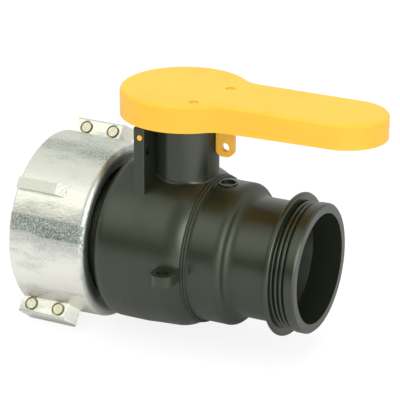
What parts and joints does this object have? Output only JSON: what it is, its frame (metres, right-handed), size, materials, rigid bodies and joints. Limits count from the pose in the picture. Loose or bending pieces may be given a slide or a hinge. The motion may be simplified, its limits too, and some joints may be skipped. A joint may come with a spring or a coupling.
{
  "type": "ibc tank valve",
  "caption": "Quarter-turn ball valve for a bulk liquid tank, with a swivelling two-piece threaded coupling nut at the inlet, a threaded spigot outlet and a flat lockable lever handle.",
  "frame": {"origin": "centre of the inlet sealing face, on the pipe axis", "axes": "+X along the pipe axis, the way the liquid flows; +Z from the pipe axis up along the stem to the handle; +Y to the left of the flow"},
  "size_m": [0.1691, 0.0899, 0.1198],
  "materials": {
    "body": "satin moulded",
    "handle": "satin moulded",
    "seat": "machined",
    "seal": "matte",
    "bushing": "moulded",
    "stem": "glass filled, moulded",
    "ball": "polished",
    "nut": "die cast, bright",
    "steel": "plated"
  },
  "bodies": {
    "valve_body": {"body_barrel": "body", "outlet_spigot": "body", "rib_plug": "handle", "seat_inlet": "seat", "seat_outlet": "seat", "seat_o_ring_inlet": "seal", "seat_o_ring_outlet": "seal", "inlet_gasket": "seal", "stem_bushing": "bushing"},
    "handle_unit": {"handle": "handle", "handle_pin": "steel", "stem": "stem", "stem_o_ring_lower": "seal", "stem_o_ring_upper": "seal", "stem_washer": "seat", "ball": "ball"},
    "coupling_nut": {"nut_half_front": "nut", "nut_half_rear": "nut", "rivet_lower_mouth": "steel", "rivet_lower_tail": "steel", "rivet_upper_mouth": "steel", "rivet_upper_tail": "steel"}
  },
  "joints": [
    {"name": "handle_turn", "type": "hinge", "parent": "valve_body", "child": "handle_unit", "pos_m": [0.046, 0, 0], "axis": [0, 0, 1], "range_deg": [-90, 0]},
    {"name": "nut_turn", "type": "hinge", "parent": "valve_body", "child": "coupling_nut", "pos_m": [0, 0, 0], "axis": [1, 0, 0], "continuous": true}
  ]
}
